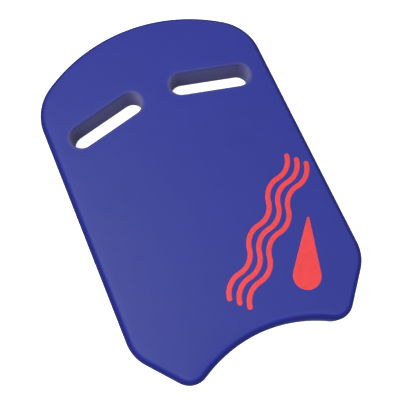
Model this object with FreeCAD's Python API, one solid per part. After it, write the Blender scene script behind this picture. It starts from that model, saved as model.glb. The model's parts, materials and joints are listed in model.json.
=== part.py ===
"""Kickboard float: a flat foam board with a round nose, two hand slots and a notched tail.

The board lies on its bottom face.  +X points to the swimmer's right, +Y runs from the tail to
the nose and +Z points up through the thickness.  The origin is the centre of the bottom face's
bounding rectangle.  All sizes are in millimetres.

A grey foam core sits between two blue foam skins.  Each skin covers one face and wraps half of
the rounded rim, and the two meet at mid-height.  The hand slots are cut through all three
layers, so the core shows on their walls.  Thin print films lie on the top face.
"""

import FreeCAD
import Part

import math
import os

# Board
board_length = 440.0
board_width = 293.5
board_thickness = 38.5
skin_thickness = 3.0
rim_round = 11.0

# Outline, from nose to tail
nose_radius = 206.5
nose_corner_radius = 63.5
shoulder_height = 55.5  # where the side and the tail chamfer would meet, above the tail line
shoulder_radius = 47.5
foot_radius = 24.0
recess_radius = 162.5
recess_depth = 23.0

# Hand slots, mirrored about the board's centre line, with their outer ends nearer the tail
slot_length = 101.0
slot_width = 29.0
slot_offset = 69.5
slot_above_centre = 110.5
slot_tilt = 13.7
slot_top_round = 2.8
slot_bottom_round = 1.0

# Print on the top face: wave bands on a slanted line, and a drop beside them
print_thickness = 0.3
print_angle = 44.0
wave_centre_x = 56.0
wave_centre_y = -93.0
wave_pitch = 12.5
wave_half_length = 31.0
wave_half_count = 6
wave_rise = 5.0
wave_stroke = 6.0
drop_centre_x = 73.0
drop_centre_y = -160.0
drop_radius = 16.5
drop_tip_radius = 1.5
drop_length = 86.0
drop_angle = 63.0

half_length = board_length / 2
half_width = board_width / 2
mid_height = board_thickness / 2
upwards = FreeCAD.Vector(0, 0, 1)


def point(x, y):
    """A point in the plane of the bottom face."""
    return FreeCAD.Vector(x, y, 0)


def towards(centre, target, distance):
    """The point at this distance from centre, in the direction of target."""
    direction = target - centre
    return centre + direction * (distance / direction.Length)


def polar(centre, radius, angle):
    """The point at this radius and angle in radians from centre."""
    return centre + point(radius * math.cos(angle), radius * math.sin(angle))


def line_edge(start, end):
    return Part.LineSegment(start, end).toShape()


def arc_edge(start, middle, end):
    return Part.Arc(start, middle, end).toShape()


def short_arc(centre, start, end):
    """The arc about centre, under half a turn, from start to end."""
    middle = towards(centre, (start + end) * 0.5, (start - centre).Length)
    return arc_edge(start, middle, end)


def closed_face(edges):
    """The face inside a closed chain of edges, given in any order."""
    return Part.Face(Part.Wire(Part.sortEdges(edges)[0]))


def mirrored(edge):
    """The same edge on the other side of the board's centre line."""
    return edge.mirror(point(0, 0), FreeCAD.Vector(1, 0, 0))


def outline_face():
    """The board's plan: arcs and lines that meet in tangents all the way round."""
    nose_centre = point(0, half_length - nose_radius)
    corner_x = half_width - nose_corner_radius
    corner_rise = math.sqrt((nose_radius - nose_corner_radius) ** 2 - corner_x ** 2)
    corner_centre = point(corner_x, nose_centre.y + corner_rise)
    nose_end = towards(nose_centre, corner_centre, nose_radius)
    side_top = point(half_width, corner_centre.y)

    recess_centre = point(0, -half_length + recess_depth - recess_radius)
    foot_y = -half_length + foot_radius
    foot_x = math.sqrt((recess_radius + foot_radius) ** 2 - (foot_y - recess_centre.y) ** 2)
    foot_centre = point(foot_x, foot_y)
    recess_end = towards(foot_centre, recess_centre, foot_radius)

    # The tail chamfer is the tangent from the shoulder's corner to the outside of the foot.
    shoulder_corner = point(half_width, -half_length + shoulder_height)
    reach = shoulder_corner - foot_centre
    chamfer_angle = math.atan2(reach.y, reach.x) - math.acos(foot_radius / reach.Length)
    chamfer_end = polar(foot_centre, foot_radius, chamfer_angle)
    shoulder_rise = -shoulder_radius * (1 - math.cos(chamfer_angle)) / math.sin(chamfer_angle)
    shoulder_centre = point(half_width - shoulder_radius, shoulder_corner.y + shoulder_rise)
    side_end = point(half_width, shoulder_centre.y)
    chamfer_top = polar(shoulder_centre, shoulder_radius, chamfer_angle)
    foot_bottom = point(foot_x, -half_length)

    flank = [
        short_arc(corner_centre, nose_end, side_top),
        line_edge(side_top, side_end),
        short_arc(shoulder_centre, side_end, chamfer_top),
        line_edge(chamfer_top, chamfer_end),
        short_arc(foot_centre, chamfer_end, foot_bottom),
        short_arc(foot_centre, foot_bottom, recess_end),
    ]
    nose = arc_edge(point(-nose_end.x, nose_end.y), point(0, half_length), nose_end)
    recess_top = point(0, -half_length + recess_depth)
    recess = arc_edge(point(-recess_end.x, recess_end.y), recess_top, recess_end)
    return closed_face([nose, recess] + flank + [mirrored(edge) for edge in flank])


def edges_at_height(solid, height):
    """The edges of a solid that lie in the level plane at this height."""
    level = []
    for edge in solid.Edges:
        box = edge.BoundBox
        if abs(box.ZMin - height) < 1e-4 and abs(box.ZMax - height) < 1e-4:
            level.append(edge)
    return level


def rounded_slab(plan, bottom, top, radius):
    """A slab on this plan with a rounded rim along its top and bottom."""
    base = plan.copy()
    base.translate(upwards * bottom)
    slab = base.extrude(upwards * (top - bottom))
    return slab.makeFillet(radius, edges_at_height(slab, bottom) + edges_at_height(slab, top))


def slot_prism(side):
    """The space of one hand slot, on the right for side 1 and on the left for side -1."""
    radius = slot_width / 2
    reach = slot_length / 2 - radius
    face = closed_face([
        line_edge(point(-reach, radius), point(reach, radius)),
        arc_edge(point(reach, radius), point(reach + radius, 0), point(reach, -radius)),
        line_edge(point(reach, -radius), point(-reach, -radius)),
        arc_edge(point(-reach, -radius), point(-reach - radius, 0), point(-reach, radius)),
    ])
    prism = face.extrude(upwards * (3 * board_thickness))
    prism.rotate(point(0, 0), upwards, -side * slot_tilt)
    prism.translate(FreeCAD.Vector(side * slot_offset, slot_above_centre, -board_thickness))
    return prism


def half_space(bottom, top):
    """A block wider than the board, between two heights."""
    corner = FreeCAD.Vector(-board_width, -board_length, bottom)
    return Part.makeBox(2 * board_width, 2 * board_length, top - bottom, corner)


def foam_core(core_blank, slots):
    return core_blank.cut(slots)


def foam_skin(shell, slots, bottom, top, face_height, slot_round):
    """Half of the shell around the core, with the hand slots' rims rounded on its face."""
    half = shell.common(half_space(bottom, top)).cut(slots)
    face = next(f for f in half.Faces if all(abs(v.Z - face_height) < 1e-4 for v in f.Vertexes))
    rims = [edge for wire in face.Wires if not wire.isSame(face.OuterWire) for edge in wire.Edges]
    return half.makeFillet(slot_round, rims)


def on_top_face(face, x, y, angle):
    """A print film: a flat face turned and placed on the board's top face, at its thickness."""
    film = face.extrude(upwards * print_thickness)
    film.rotate(point(0, 0), upwards, angle)
    film.translate(FreeCAD.Vector(x, y, board_thickness))
    return film


def wave_film(row):
    """One wave band of joined arcs with round ends, this many pitches above the middle one."""
    radius = (wave_half_length ** 2 / 4 + wave_rise ** 2) / (2 * wave_rise)
    spread = math.asin(wave_half_length / 2 / radius)
    first = -wave_half_length * wave_half_count / 2
    edges = []
    for number in range(wave_half_count):
        sign = 1 if number % 2 == 0 else -1
        middle_x = first + wave_half_length * (number + 0.5)
        centre = point(middle_x, sign * (wave_rise - radius))
        crest_angle = sign * math.pi / 2
        for side in (1, -1):
            edge_radius = radius + side * wave_stroke / 2
            ends = [polar(centre, edge_radius, crest_angle + turn) for turn in (spread, -spread)]
            edges.append(short_arc(centre, ends[0], ends[1]))
    for end in (-1, 1):
        # An even number of half waves leaves both ends sloping the same way.
        slope = spread if end < 0 or wave_half_count % 2 == 0 else -spread
        tip = point(end * -first, 0)
        across = slope + math.pi / 2
        corners = [polar(tip, side * wave_stroke / 2, across) for side in (1, -1)]
        edges.append(arc_edge(corners[0], polar(tip, end * wave_stroke / 2, slope), corners[1]))
    rise = math.radians(print_angle)
    shift = row * wave_pitch
    x = wave_centre_x - shift * math.sin(rise)
    y = wave_centre_y + shift * math.cos(rise)
    return on_top_face(closed_face(edges), x, y, print_angle)


def drop_film():
    """A water drop: two circles joined by their outer tangents."""
    tip_distance = drop_length - drop_radius - drop_tip_radius
    tip_centre = point(tip_distance, 0)
    lean = math.acos((drop_radius - drop_tip_radius) / tip_distance)
    body = [polar(point(0, 0), drop_radius, side * lean) for side in (1, -1)]
    tip = [polar(tip_centre, drop_tip_radius, side * lean) for side in (1, -1)]
    face = closed_face([
        arc_edge(body[0], point(-drop_radius, 0), body[1]),
        line_edge(body[0], tip[0]),
        line_edge(body[1], tip[1]),
        arc_edge(tip[0], point(tip_distance + drop_tip_radius, 0), tip[1]),
    ])
    return on_top_face(face, drop_centre_x, drop_centre_y, drop_angle)


def build():
    """Every piece of the board, by the name of its node."""
    plan = outline_face()
    slab = rounded_slab(plan, 0, board_thickness, rim_round)
    core_plan = plan.makeOffset2D(-skin_thickness)
    core_top = board_thickness - skin_thickness
    core_blank = rounded_slab(core_plan, skin_thickness, core_top, rim_round - skin_thickness)
    shell = slab.cut(core_blank)
    slots = slot_prism(-1).fuse(slot_prism(1))
    beyond = 2 * board_thickness
    return {
        "foam_core": foam_core(core_blank, slots),
        "top_skin": foam_skin(shell, slots, mid_height, beyond, board_thickness, slot_top_round),
        "bottom_skin": foam_skin(shell, slots, -beyond, mid_height, 0, slot_bottom_round),
        "print_wave_upper": wave_film(1),
        "print_wave_middle": wave_film(0),
        "print_wave_lower": wave_film(-1),
        "print_drop": drop_film(),
    }


os.makedirs("parts", exist_ok=True)
for node, shape in build().items():
    if not shape.isValid() or len(shape.Solids) != 1:
        raise ValueError(node + " is not one valid solid")
    solid = shape.Solids[0]
    solid.exportStep("parts/" + node + ".step")
    box = solid.optimalBoundingBox()
    print(f"{node}: {solid.Volume / 1000:.2f} cm3, x {box.XMin:.2f} to {box.XMax:.2f}, "
          f"y {box.YMin:.2f} to {box.YMax:.2f}, z {box.ZMin:.2f} to {box.ZMax:.2f}")
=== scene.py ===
"""Kickboard float: the visual model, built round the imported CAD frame, in metres.

Three foam pieces and four print films replace the plain CAD solids. Each one is a closed shell:
strips of rings sweep its rim and its slot walls, and a triangle mesh fills its faces.
"""

import json
import math

import bmesh
import bpy
import numpy as np
from mathutils import Matrix, Vector, kdtree, noise
from mathutils.geometry import delaunay_2d_cdt


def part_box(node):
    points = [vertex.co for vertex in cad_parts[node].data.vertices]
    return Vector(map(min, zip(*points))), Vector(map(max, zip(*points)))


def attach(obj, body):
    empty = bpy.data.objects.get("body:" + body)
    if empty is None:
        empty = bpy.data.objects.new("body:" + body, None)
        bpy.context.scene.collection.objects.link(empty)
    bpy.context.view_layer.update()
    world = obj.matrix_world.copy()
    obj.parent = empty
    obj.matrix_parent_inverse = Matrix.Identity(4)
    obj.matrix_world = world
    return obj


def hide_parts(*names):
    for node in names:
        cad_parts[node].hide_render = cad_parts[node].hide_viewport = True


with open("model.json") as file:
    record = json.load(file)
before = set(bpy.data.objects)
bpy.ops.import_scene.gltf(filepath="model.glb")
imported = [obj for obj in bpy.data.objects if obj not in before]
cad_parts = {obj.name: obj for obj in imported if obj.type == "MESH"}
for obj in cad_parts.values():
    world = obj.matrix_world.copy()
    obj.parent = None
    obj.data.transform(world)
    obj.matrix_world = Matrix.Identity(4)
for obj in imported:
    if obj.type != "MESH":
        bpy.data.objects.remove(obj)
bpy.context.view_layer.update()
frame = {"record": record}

# Sizes that the frame holds
half_width, half_length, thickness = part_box("top_skin")[1]
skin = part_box("foam_core")[0].z
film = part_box("print_drop")[1].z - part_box("print_drop")[0].z
slot_centres = [
    Vector(mount["pos_m"]).xy
    for mount in frame["record"]["mounts"]
    if mount["name"].startswith("hand_slot")
]

# Outline, from nose to tail
nose_radius = 0.2065
nose_corner_radius = 0.0635
shoulder_height = 0.0555
shoulder_radius = 0.0475
foot_radius = 0.024
recess_radius = 0.1625
recess_depth = 0.023
rim_round = 0.011

# Hand slots
slot_length = 0.101
slot_width = 0.029
slot_tilt = math.radians(13.7)
slot_rounds = {1: 0.0028, -1: 0.0010}  # by side: 1 is the top face and -1 the bottom

# Print
print_angle = math.radians(44)
wave_centre = Vector((0.056, -0.093))
wave_pitch = 0.0125
wave_half_length = 0.031
wave_half_count = 6
wave_rise = 0.005
wave_stroke = 0.006
drop_centre = Vector((0.073, -0.160))
drop_radius = 0.0165
drop_tip_radius = 0.0015
drop_length = 0.086
drop_angle = math.radians(63)

# Spacing of the mesh
outline_step = 0.0022
slot_step = 0.0014
print_step = 0.0009
face_step = 0.0042
film_step = 2.5 * print_step
hidden_step = 0.014
core_rings = 24

# Rings of points: how far in from the board's edge, below the face and beyond a slot's round
face_rings = (0.0190, 0.0160, 0.0135)
side_rings = (0.0130, 0.0155, 0.0175)
slot_rings = (0.0055, 0.0036, 0.0020, 0.0009)
# A print film's edge: how far out each ring lies, and how high as a share of its thickness
film_edge = [
    (-0.00110, 1),
    (-0.00060, 0.98),
    (-0.00028, 0.88),
    (-0.00010, 0.62),
    (0, 0.25),
    (0, -0.10),
]

# Edges sharper than this, in degrees, are shaded as edges
skin_sharp_angle = 40
core_sharp_angle = 50
film_sharp_angle = 70

# Shape of the foam
skin_gap = 0.00004
crown = 0.00035
crown_reach = 0.010
slot_dip = 0.00030
slot_dip_reach = 0.006
relief_height = 0.00010
relief_scale = 0.075
parting_round = 0.0006
seam_round = 0.00015
cut_hollow = 0.0004
cut_ripple = 0.00009
drag_size = 0.0035
drag_stretch = 0.08
cell_size = 0.0022
cell_share = 0.8

# Where the foam is paler, part hand wear and part painted highlight: beside the slots, and most of
# all round their tips
wear_and_highlight_reach = 0.0024
side_wear_and_highlight = 0.39
end_wear_and_highlight = 0.61

# Camera and light
camera_target = Vector((-0.00430, -0.02876, 0.0385))
camera_place = Vector((-0.08234, -0.19804, 0.73026))
camera_roll = math.radians(24.2)
camera_lens = 54.39
floor_size = 12.0
# Name, place, size and power
softboxes = [
    ("overhead_softbox", Vector((-0.62, 0.20, 1.50)), 0.9, 17.0),
    ("tail_softbox", Vector((-1.00, -1.70, 1.60)), 1.7, 26.0),
]


# ---------------------------------------------------------------- outlines

def turned(point, angle, origin=(0, 0)):
    """A plane point turned about zero and then moved by origin."""
    c, s = math.cos(angle), math.sin(angle)
    return (origin[0] + c * point[0] - s * point[1], origin[1] + s * point[0] + c * point[1])


def arc(centre, radius, start, end, step, hollow=False):
    """Rows of x, y and outward normal along an arc, without its last point."""
    count = max(2, math.ceil(abs(end - start) * radius / step))
    sign = -1 if hollow else 1
    rows = []
    for number in range(count):
        angle = start + (end - start) * number / count
        c, s = math.cos(angle), math.sin(angle)
        rows.append((centre[0] + radius * c, centre[1] + radius * s, sign * c, sign * s))
    return rows


def line(start, end, step):
    """Rows of x, y and outward normal along a clockwise outline's line, without its last point."""
    count = max(1, math.ceil(math.dist(start, end) / step))
    along = (Vector(end) - Vector(start)).normalized()
    rows = []
    for number in range(count):
        x, y = Vector(start).lerp(Vector(end), number / count)
        rows.append((x, y, -along.y, along.x))
    return rows


def board_outline(step):
    """The board's outline, clockwise from the nose, as rows of x, y and outward normal."""
    nose = (0, half_length - nose_radius)
    corner_x = half_width - nose_corner_radius
    corner_rise = math.sqrt((nose_radius - nose_corner_radius) ** 2 - corner_x ** 2)
    corner = (corner_x, nose[1] + corner_rise)
    nose_end = math.atan2(corner_rise, corner_x)

    recess = (0, -half_length + recess_depth - recess_radius)
    foot_y = -half_length + foot_radius
    foot_rise = foot_y - recess[1]
    foot = (math.sqrt((recess_radius + foot_radius) ** 2 - foot_rise ** 2), foot_y)
    recess_start = math.atan2(foot_rise, foot[0])

    reach = (half_width - foot[0], -half_length + shoulder_height - foot_y)
    lean = math.atan2(reach[1], reach[0]) - math.acos(foot_radius / math.hypot(*reach))
    rise = -shoulder_radius * (1 - math.cos(lean)) / math.sin(lean)
    shoulder = (half_width - shoulder_radius, -half_length + shoulder_height + rise)

    right = arc(nose, nose_radius, math.pi / 2, nose_end, step)
    right += arc(corner, nose_corner_radius, nose_end, 0, step)
    right += line((half_width, corner[1]), (half_width, shoulder[1]), step)
    right += arc(shoulder, shoulder_radius, 0, lean, step)
    right += line(turned((shoulder_radius, 0), lean, shoulder),
                  turned((foot_radius, 0), lean, foot), step)
    right += arc(foot, foot_radius, lean, recess_start - math.pi, step)
    right += arc(recess, recess_radius, recess_start, math.pi / 2, step, hollow=True)
    recess_top = (0, -half_length + recess_depth, 0, -1)
    left = [(-x, y, -nx, ny) for x, y, nx, ny in right[:0:-1]]
    return np.array(right + [recess_top] + left)


def placed(rows, angle, centre):
    """Outline rows turned by angle and moved to centre."""
    return np.array([(*turned(row[:2], angle, centre), *turned(row[2:], angle)) for row in rows])


def slot_outline(centre, step):
    """A hand slot's outline, clockwise. Its outer end is nearer the tail."""
    radius = slot_width / 2
    reach = slot_length / 2 - radius
    quarter = math.pi / 2
    rows = line((-reach, radius), (reach, radius), step)
    rows += arc((reach, 0), radius, quarter, -quarter, step)
    rows += line((reach, -radius), (-reach, -radius), step)
    rows += arc((-reach, 0), radius, -quarter, -3 * quarter, step)
    return placed(rows, -math.copysign(slot_tilt, centre.x), centre)


def wave_outline(row, step):
    """One wave band's outline, clockwise, this many pitches above the middle band."""
    radius = (wave_half_length ** 2 / 4 + wave_rise ** 2) / (2 * wave_rise)
    spread = math.asin(wave_half_length / 2 / radius)
    half_stroke = wave_stroke / 2
    half_band = wave_half_length * wave_half_count / 2
    upper, lower = [], []
    for number in range(wave_half_count):
        crest = number % 2 == 0
        sign = 1 if crest else -1
        centre = (wave_half_length * (number + 0.5) - half_band, sign * (wave_rise - radius))
        left, right = sign * (math.pi / 2 + spread), sign * (math.pi / 2 - spread)
        upper += arc(centre, radius + sign * half_stroke, left, right, step, not crest)
        lower = arc(centre, radius - sign * half_stroke, right, left, step, crest) + lower
    # Both ends slope the same way, because the number of half waves is even.
    across = spread + math.pi / 2
    right_end = arc((half_band, 0), half_stroke, across, across - math.pi, step)
    left_end = arc((-half_band, 0), half_stroke, across - math.pi, across - 2 * math.pi, step)
    shift = turned((0, row * wave_pitch), print_angle, wave_centre)
    return placed(upper + right_end + lower + left_end, print_angle, shift)


def drop_outline(step):
    """The drop's outline, clockwise: two circles and their outer tangents."""
    reach = drop_length - drop_radius - drop_tip_radius
    lean = math.acos((drop_radius - drop_tip_radius) / reach)
    body = [turned((drop_radius, 0), side * lean) for side in (1, -1)]
    tip = [turned((drop_tip_radius, 0), side * lean, (reach, 0)) for side in (1, -1)]
    rows = line(body[0], tip[0], step)
    rows += arc((reach, 0), drop_tip_radius, lean, -lean, step / 4)
    rows += line(tip[1], body[1], step)
    rows += arc((0, 0), drop_radius, -lean, lean - 2 * math.pi, step)
    return placed(rows, drop_angle, drop_centre)


outline = board_outline(outline_step)
slots = [slot_outline(centre, slot_step) for centre in slot_centres]


# ---------------------------------------------------------------- closed shells

def distances(points, rows):
    """Each plane point's distance to the nearest of an outline's rows."""
    tree = kdtree.KDTree(len(rows))
    for number, row in enumerate(rows):
        tree.insert((row[0], row[1], 0), number)
    tree.balance()
    return np.array([tree.find((x, y, 0))[2] for x, y in points])


def inside(points, loops):
    """Whether each plane point is inside an odd number of the loops."""
    x, y = points[:, 0], points[:, 1]
    crossings = np.zeros(len(points), int)
    for loop in loops:
        for start, end in zip(loop, np.roll(loop, -1, axis=0)):
            spans = (start[1] > y) != (end[1] > y)
            slope = (end[0] - start[0]) / (end[1] - start[1] or 1)
            crossings += spans & (x < start[0] + (y - start[1]) * slope)
    return crossings % 2 == 1


class Shell:
    """Points and faces of a closed mesh. A point's share is how much of the face's dip it takes."""

    def __init__(self):
        self.points = []
        self.shares = []
        self.faces = []

    def strip(self, rows, profile):
        """Rings along an outline, joined by quads. Gives the first and the last ring."""
        rings = []
        for offset, height, share in profile:
            rings.append(range(len(self.points), len(self.points) + len(rows)))
            self.points += [(x + nx * offset, y + ny * offset, height) for x, y, nx, ny in rows]
            self.shares += [share] * len(rows)
        for upper, lower in zip(rings, rings[1:]):
            for number in range(len(rows)):
                self.faces.append((upper[number - 1], upper[number],
                                   lower[number], lower[number - 1]))
        return rings[0], rings[-1]

    def fill(self, rings, spacing, share):
        """Triangles inside the first ring and outside the others, in a level plane."""
        loops = [np.array([self.points[n][:2] for n in ring]) for ring in rings]
        border = np.concatenate(loops)
        height = self.points[rings[0][0]][2]
        low, high = border.min(0), border.max(0)
        grid = []
        for row, y in enumerate(np.arange(low[1], high[1], spacing * math.sqrt(0.75))):
            for x in np.arange(low[0] + spacing * 0.5 * (row % 2), high[0], spacing):
                grid.append((x, y))
        grid = np.array(grid)
        grid = grid[inside(grid, loops)]
        grid = grid[distances(grid, border) > 0.6 * spacing]
        numbers = [n for ring in rings for n in ring]
        numbers += range(len(self.points), len(self.points) + len(grid))
        self.points += [(x, y, height) for x, y in grid]
        self.shares += [share] * len(grid)
        edges = []
        for ring in rings:
            start, count = len(edges), len(ring)
            edges += [(start + n, start + (n + 1) % count) for n in range(count)]
        # Type 1 keeps the triangles that the edges enclose.
        flat = [Vector(self.points[n][:2]) for n in numbers]
        _, _, triangles, sources = delaunay_2d_cdt(flat, edges, [], 1, 1e-7)[:4]
        triangles = np.array([[numbers[sources[n][0]] for n in t] for t in triangles])
        centres = np.array(self.points)[triangles, :2].mean(1)
        self.faces += triangles[~inside(centres, loops[1:])].tolist()

    def sink(self, side):
        """Moves the points by their shares of the face's dip, towards the board's middle."""
        points = np.array(self.points)
        points[:, 2] -= side * face_dip(points[:, :2], side) * np.array(self.shares)
        self.points = points.tolist()

    def piece(self, name, sharp_angle, wear_and_highlight=None):
        """The Blender object, with its normals facing out. The last argument is each point's
        paleness: hand wear and a painted highlight.
        """
        mesh = bpy.data.meshes.new(name)
        mesh.from_pydata(self.points, [], self.faces)
        work = bmesh.new()
        work.from_mesh(mesh)
        bmesh.ops.recalc_face_normals(work, faces=work.faces)
        work.to_mesh(mesh)
        work.free()
        mesh.shade_smooth()
        mesh.set_sharp_from_angle(angle=math.radians(sharp_angle))
        if wear_and_highlight is not None:
            mesh.attributes.new("wear_and_highlight", "FLOAT", "POINT").data.foreach_set("value", wear_and_highlight)
        made = bpy.data.objects.new(name, mesh)
        bpy.context.scene.collection.objects.link(made)
        return made


def slot_distances(points):
    """Each plane point's distance to the nearer slot's wall."""
    return np.min([distances(points, slot) for slot in slots], axis=0)


def slot_ends(points):
    """Each plane point's place round the nearer slot's ends: 0 on its long sides, 1 at its tips."""
    shares = []
    for x, y in points:
        centre = min(slot_centres, key=lambda place: math.dist(place, (x, y)))
        tilt = math.copysign(slot_tilt, centre.x)
        along = turned((x - centre.x, y - centre.y), tilt)[0]
        shares.append((abs(along) - (slot_length - slot_width) / 2) / (slot_width / 2))
    return np.clip(shares, 0, 1)


def face_dip(points, side):
    """How far a moulded face lies below flat at each plane point: it sinks towards its edges."""
    from_rim = np.maximum(distances(points, outline) - rim_round, 0)
    from_slot = np.maximum(slot_distances(points) - slot_rounds[side], 0)
    dip = crown * np.exp(-from_rim / crown_reach)
    dip += slot_dip * np.exp(-(from_slot / slot_dip_reach) ** 2)
    waves = [noise.noise(Vector((x / relief_scale, y / relief_scale, side))) for x, y in points]
    return dip + relief_height * (1 - np.array(waves))


def bend(offset, depth, radius, start, end, steps):
    """Places along an arc of a profile, in degrees: 0 points outward and 90 up to the face."""
    places = []
    for angle in np.radians(np.linspace(start, end, steps + 1)):
        places.append((offset + radius * math.cos(angle), depth - radius * math.sin(angle)))
    return places


def foam_skin(name, side):
    """A skin: face, half of the rim, parting lip and hidden inside. Side is 1 for the top."""
    middle = (thickness - skin_gap) / 2
    rim = [(-inset, 0) for inset in face_rings]
    rim += bend(-rim_round, rim_round, rim_round, 90, 0, 12)
    rim += [(0, depth) for depth in side_rings]
    rim += bend(-parting_round, middle - parting_round, parting_round, 0, -90, 4)
    rim = [(offset, depth, 1 - depth / middle) for offset, depth in rim]
    inner = [(-skin, middle)] + bend(-rim_round, rim_round, rim_round - skin, 0, 90, 6)
    rim += [(offset, depth, 0) for offset, depth in inner]

    slot_round = slot_rounds[side]
    slot = [(slot_round + beyond, 0) for beyond in slot_rings]
    slot += bend(slot_round, slot_round, slot_round, 90, 180, 7)
    slot += bend(seam_round, skin - seam_round, seam_round, 180, 270, 3)
    slot = [(offset, depth, 1 - depth / skin) for offset, depth in slot]

    shell = Shell()
    ends = []
    for rows, profile in [(outline, rim)] + [(rows, slot) for rows in slots]:
        heights = [(o, thickness - d if side > 0 else d, share) for o, d, share in profile]
        ends.append(shell.strip(rows, heights))
    shell.fill([first for first, last in ends], face_step, 1)
    shell.fill([last for first, last in ends], hidden_step, 0)
    shell.sink(side)
    plan = np.array(shell.points)[:, :2]
    # Paler skin beside the slots and most of all round their tips: part hand wear, part painted
    # highlight
    near = np.exp(-(slot_distances(plan) / wear_and_highlight_reach) ** 2)
    wear_and_highlight = near * (side_wear_and_highlight + end_wear_and_highlight * slot_ends(plan) ** 2)
    return shell.piece(name, skin_sharp_angle, wear_and_highlight)


def foam_core(name):
    """The core: plain where the skins hide it, with the cutter's marks on the slot walls."""
    top = skin + skin_gap
    rim = bend(-rim_round, rim_round, rim_round - top, 90, 0, 6)
    rim += [(offset, thickness - depth) for offset, depth in reversed(rim)]
    lip = bend(seam_round, top + seam_round, seam_round, 90, 180, 3)
    half_wall = thickness / 2 - top - seam_round
    levels = np.linspace(1, -1, core_rings)[1:-1]
    slot = lip + [(0, thickness / 2 - level * half_wall) for level in levels]
    slot += [(offset, thickness - depth) for offset, depth in reversed(lip)]

    shell = Shell()
    ends = [shell.strip(outline, [(o, thickness - d, 0) for o, d in rim])]
    for rows in slots:
        start = len(shell.points)
        ends.append(shell.strip(rows, [(o, thickness - d, 0) for o, d in slot]))
        for number in range(start, len(shell.points)):
            x, y, z = shell.points[number]
            nx, ny = rows[(number - start) % len(rows)][2:]
            depth = cut_depth(x, y, z)
            shell.points[number] = (x + nx * depth, y + ny * depth, z)
    shell.fill([first for first, last in ends], hidden_step, 0)
    shell.fill([last for first, last in ends], hidden_step, 0)
    # Paler cut foam at the slot tips: a painted highlight, with some hand wear
    wear_and_highlight = slot_ends(np.array(shell.points)[:, :2]) ** 3
    return shell.piece(name, core_sharp_angle, wear_and_highlight)


def cut_depth(x, y, z):
    """How far the cutter went into the foam: a hollow at mid-height, drag lines and cells."""
    level = (z - thickness / 2) / (thickness / 2 - skin)
    drag = noise.noise(Vector((x, y, z * drag_stretch)) / drag_size)
    cells = noise.noise(Vector((x, y, z)) / cell_size)
    fade = max(0, 1 - level ** 2)
    return cut_hollow * fade + cut_ripple * (drag + cell_share * cells) * min(1, 6 * fade)


def print_film(name, rows):
    """One print film: a flat top with soft edges, laid on the relief of the top face."""
    shell = Shell()
    first, last = shell.strip(rows, [(o, thickness + film * part, 1) for o, part in film_edge])
    shell.fill([first], film_step, 1)
    shell.fill([last], film_step, 1)
    shell.sink(1)
    return shell.piece(name, film_sharp_angle)


# ---------------------------------------------------------------- materials

class Graph:
    """A material's or a world's nodes."""

    def __init__(self, owner):
        owner.use_nodes = True
        self.nodes = owner.node_tree.nodes
        self.links = owner.node_tree.links
        self.nodes.clear()

    def add(self, kind, output=0, inputs=(), **settings):
        """Adds a node, links or sets its inputs, and gives one of its outputs."""
        node = self.nodes.new("ShaderNode" + kind)
        for key, value in settings.items():
            setattr(node, key, value)
        for key, value in dict(inputs).items():
            if isinstance(value, bpy.types.NodeSocket):
                self.links.new(value, node.inputs[key])
            else:
                node.inputs[key].default_value = value
        return node.outputs[output] if node.outputs else node

    def maths(self, operation, first, second=0.0):
        """One operation on two numbers, or on the first alone."""
        return self.add("Math", 0, {0: first, 1: second}, operation=operation)

    def noise(self, place, size, detail=2.0):
        """Noise of about this size in metres, from -1 to 1."""
        inputs = {"Vector": place, "Scale": 1 / size, "Detail": detail}
        return self.ramp(self.add("TexNoise", "Fac", inputs), 0.25, 0.75, -1, 1)

    def ramp(self, value, low, high, first=0.0, last=1.0, smooth=False):
        """Maps low to high onto first to last."""
        kind = "SMOOTHSTEP" if smooth else "LINEAR"
        inputs = {"Value": value, "From Min": low, "From Max": high, "To Min": first,
                  "To Max": last}
        return self.add("MapRange", "Result", inputs, interpolation_type=kind)

    def around(self, middle, *parts):
        """The middle value plus each part's noise times its weight."""
        total = middle
        for value, weight in parts:
            total = self.add("Math", 0, {0: value, 1: weight, 2: total}, operation="MULTIPLY_ADD")
        return total

    def mix(self, factor, first, second):
        """A colour between two. The Mix node's colours are inputs 6 and 7, and output 2."""
        return self.add("Mix", 2, {0: factor, 6: first, 7: second}, data_type="RGBA")

    def scaled(self, colour, factor):
        """A colour times a number."""
        return self.add("VectorMath", 0, {0: colour, "Scale": factor}, operation="SCALE")

    def bump(self, height, distance, normal=None):
        """A normal bent by a height, on top of an earlier bump if one is given."""
        inputs = {"Height": height, "Distance": distance, "Strength": 1.0}
        if normal is not None:
            inputs["Normal"] = normal
        return self.add("Bump", 0, inputs)

    def surface(self, **inputs):
        """A Principled surface. Input names have _ for a space."""
        named = {key.replace("_", " "): value for key, value in inputs.items()}
        shader = self.add("BsdfPrincipled", 0, named)
        self.add("OutputMaterial", inputs={"Surface": shader})


def colour(red, green, blue):
    """An opaque colour, in linear values."""
    return (red, green, blue, 1.0)


def material(name):
    """A new material and its empty graph."""
    made = bpy.data.materials.new(name)
    return made, Graph(made)


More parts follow.
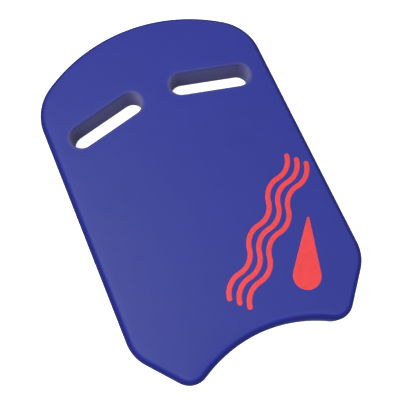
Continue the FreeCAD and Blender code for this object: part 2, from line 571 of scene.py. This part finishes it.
def moulded_skin():
    """Blue moulded foam: a pale haze on the flat faces, duller on the rounds, where a darker blue is
    painted in as shade.
    """
    face_blue = colour(0.0185, 0.026, 0.224)
    # A darker copy of the face blue: painted shade on the rounds
    round_painted_shade_blue = colour(0.0115, 0.014, 0.112)
    # Paler blue by the slots: hand wear and a painted highlight on the slot rims
    worn_highlight_blue = colour(0.100, 0.100, 0.225)
    made, graph = material("moulded_skin_foam")
    place = graph.add("TexCoord", "Object")
    normal = graph.add("NewGeometry", "Normal")
    level = graph.maths("ABSOLUTE", graph.add("SeparateXYZ", "Z", {0: normal}))
    flat = graph.ramp(level, 0.70, 0.975, smooth=True)
    shine = graph.ramp(level, 0.87, 0.985, 0.01, 0.29, smooth=True)
    wear_and_highlight = graph.add("Attribute", "Fac", attribute_name="wear_and_highlight")
    drift = graph.noise(place, 0.110, 1.0)
    mottle = graph.noise(place, 0.016, 3.0)
    grain = graph.noise(place, 0.0011, 3.0)
    cells = graph.add("TexVoronoi", "Distance", {"Vector": place, "Scale": 700.0},
                      feature="SMOOTH_F1")
    # Painted shade: the rounds take the darker blue, the level faces keep the face blue
    base = graph.mix(flat, round_painted_shade_blue, face_blue)
    # Hand wear and a painted highlight: the skin turns paler by the slots and round their tips
    base = graph.mix(wear_and_highlight, base, worn_highlight_blue)
    shade = graph.around(1.0, (drift, 0.025), (mottle, 0.020), (grain, 0.035))
    relief = graph.bump(mottle, 0.00006)
    relief = graph.bump(graph.around(cells, (grain, 0.6)), 0.00005, relief)
    graph.surface(Base_Color=graph.scaled(base, shade),
                  Roughness=graph.around(0.50, (mottle, 0.03), (grain, 0.05)),
                  Diffuse_Roughness=0.4, Specular_IOR_Level=shine, Normal=relief)
    return made


def cut_core():
    """Grey closed-cell foam where a cutter opened it: small torn cells and drag lines."""
    cell_grey = colour(0.022, 0.0212, 0.127)
    cell_rim_grey = colour(0.027, 0.026, 0.150)
    # Paler grey at the slot tips: a painted highlight, with some hand wear
    worn_highlight_grey = colour(0.080, 0.077, 0.190)
    made, graph = material("cut_core_foam")
    place = graph.add("TexCoord", "Object")
    cells = graph.add("TexVoronoi", "Distance", {"Vector": place, "Scale": 900.0})
    rims = graph.add("TexVoronoi", "Distance", {"Vector": place, "Scale": 520.0},
                     feature="DISTANCE_TO_EDGE")
    mottle = graph.noise(place, 0.006, 3.0)
    stretched = graph.add("Mapping", 0, {"Vector": place, "Scale": (1, 1, 0.06)})
    drag = graph.noise(stretched, 0.0018, 2.0)
    open_cells = graph.ramp(rims, 0.0, 0.18)
    wear_and_highlight = graph.add("Attribute", "Fac", attribute_name="wear_and_highlight")
    base = graph.mix(open_cells, cell_rim_grey, cell_grey)
    # Painted highlight at the slot tips, with some hand wear
    base = graph.mix(wear_and_highlight, base, worn_highlight_grey)
    shade = graph.around(1.0, (mottle, 0.06), (drag, 0.06))
    relief = graph.bump(drag, 0.00005)
    relief = graph.bump(graph.around(cells, (open_cells, -0.5)), 0.00012, relief)
    graph.surface(Base_Color=graph.scaled(base, shade), Roughness=0.85, Diffuse_Roughness=0.8,
                  Specular_IOR_Level=0.20, Sheen_Weight=0.08, Sheen_Roughness=0.6,
                  Normal=relief)
    return made


def print_ink():
    """Coral screen ink: satin, a little uneven, with the foam's grain coming through."""
    ink_coral = colour(0.62, 0.041, 0.046)
    pinhole_red = colour(0.33, 0.030, 0.080)
    made, graph = material("coral_print_ink")
    place = graph.add("TexCoord", "Object")
    cloud = graph.noise(place, 0.009, 3.0)
    grain = graph.noise(place, 0.0009, 2.0)
    holes = graph.add("TexVoronoi", "Distance", {"Vector": place, "Scale": 420.0})
    solid = graph.ramp(holes, 0.03, 0.09)
    base = graph.mix(solid, pinhole_red, ink_coral)
    base = graph.scaled(base, graph.around(1.0, (cloud, 0.035), (grain, 0.03)))
    graph.surface(Base_Color=base, Roughness=graph.around(0.42, (cloud, 0.05), (grain, 0.05)),
                  Specular_IOR_Level=0.35, Normal=graph.bump(grain, 0.00003))
    return made


def pale_floor():
    """A matt floor that glows white on its upper side. Its underside is clear."""
    made, graph = material("pale_floor")
    paint = graph.add("BsdfPrincipled", 0, {
        "Base Color": colour(0.8, 0.8, 0.8),
        "Roughness": 0.9,
        "Specular IOR Level": 0.1,
        "Emission Color": colour(1, 1, 1),
        "Emission Strength": 0.80,
    })
    clear = graph.add("BsdfTransparent")
    behind = graph.add("NewGeometry", "Backfacing")
    both = graph.add("MixShader", 0, {0: behind, 1: paint, 2: clear})
    graph.add("OutputMaterial", inputs={"Surface": both})
    return made


# ---------------------------------------------------------------- pieces

skin_material = moulded_skin()
ink_material = print_ink()
foam_pieces = [
    (foam_skin("skin_top", 1), "top_skin", "skin_foam", skin_material),
    (foam_skin("skin_bottom", -1), "bottom_skin", "skin_foam", skin_material),
    (foam_core("core"), "foam_core", "core_foam", cut_core()),
]
print_pieces = [
    (print_film("wave_upper", wave_outline(1, print_step)), "print_wave_upper"),
    (print_film("wave_middle", wave_outline(0, print_step)), "print_wave_middle"),
    (print_film("wave_lower", wave_outline(-1, print_step)), "print_wave_lower"),
    (print_film("drop", drop_outline(print_step)), "print_drop"),
]
for piece, node, slot_name, finish in foam_pieces:
    piece.data.materials.append(finish)
    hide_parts(node)
    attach(piece, "root")
for piece, node in print_pieces:
    piece.data.materials.append(ink_material)
    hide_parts(node)
    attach(piece, "root")


# ---------------------------------------------------------------- floor, light and camera

def lay_floor():
    """A wide square floor at the board's bottom face."""
    half = floor_size / 2
    mesh = bpy.data.meshes.new("floor")
    mesh.from_pydata([(-half, -half, 0), (half, -half, 0), (half, half, 0), (-half, half, 0)],
                     [], [(0, 1, 2, 3)])
    mesh.materials.append(pale_floor())
    floor = bpy.data.objects.new("floor", mesh)
    bpy.context.scene.collection.objects.link(floor)


def light_studio():
    """A studio that is bright at the horizon and on the tail's side, and dim overhead."""
    world = bpy.data.worlds.new("studio")
    bpy.context.scene.world = world
    sky = Graph(world)
    direction = sky.add("TexCoord", "Generated")
    height = sky.maths("ABSOLUTE", sky.add("SeparateXYZ", "Z", {0: direction}))
    horizon = sky.ramp(height, 0.0, 0.20, 1.03, 0.45, smooth=True)
    tail_side = sky.ramp(sky.add("SeparateXYZ", "Y", {0: direction}), 0.8, -0.8, 0.15, 0.85)
    walls = sky.ramp(height, 0.30, 0.50, 0.0, tail_side, smooth=True)
    ceiling = sky.ramp(height, 0.75, 0.95, 1.0, 0.30, smooth=True)
    strength = sky.maths("MULTIPLY", sky.maths("ADD", horizon, walls), ceiling)
    tint = colour(0.97, 0.98, 1.0)
    background = sky.add("Background", 0, {"Color": tint, "Strength": strength})
    sky.add("OutputWorld", inputs={"Surface": background})


def hang_softbox(name, place, size, power):
    """A square area light that points at the origin and doesn't show."""
    light = bpy.data.lights.new(name, "AREA")
    light.size = size
    light.energy = power
    softbox = bpy.data.objects.new(name, light)
    softbox.location = place
    softbox.rotation_mode = "QUATERNION"
    softbox.rotation_quaternion = (-place).to_track_quat("-Z", "Y")
    softbox.visible_camera = False
    bpy.context.scene.collection.objects.link(softbox)


def set_camera():
    """A camera that looks at its target, with the board's length leaning by the roll."""
    forward = (camera_target - camera_place).normalized()
    right = forward.cross(Vector((0, 1, 0))).normalized()
    up = right.cross(forward)
    tilted_up = math.cos(camera_roll) * up + math.sin(camera_roll) * right
    tilted_right = math.cos(camera_roll) * right - math.sin(camera_roll) * up
    axes = Matrix((tilted_right, tilted_up, -forward)).transposed().to_4x4()
    optics = bpy.data.cameras.new("camera")
    optics.lens = camera_lens
    camera = bpy.data.objects.new("camera", optics)
    camera.matrix_world = Matrix.Translation(camera_place) @ axes
    bpy.context.scene.collection.objects.link(camera)
    bpy.context.scene.camera = camera


lay_floor()
light_studio()
for softbox_settings in softboxes:
    hang_softbox(*softbox_settings)
set_camera()
bpy.context.scene.view_settings.view_transform = "Standard"
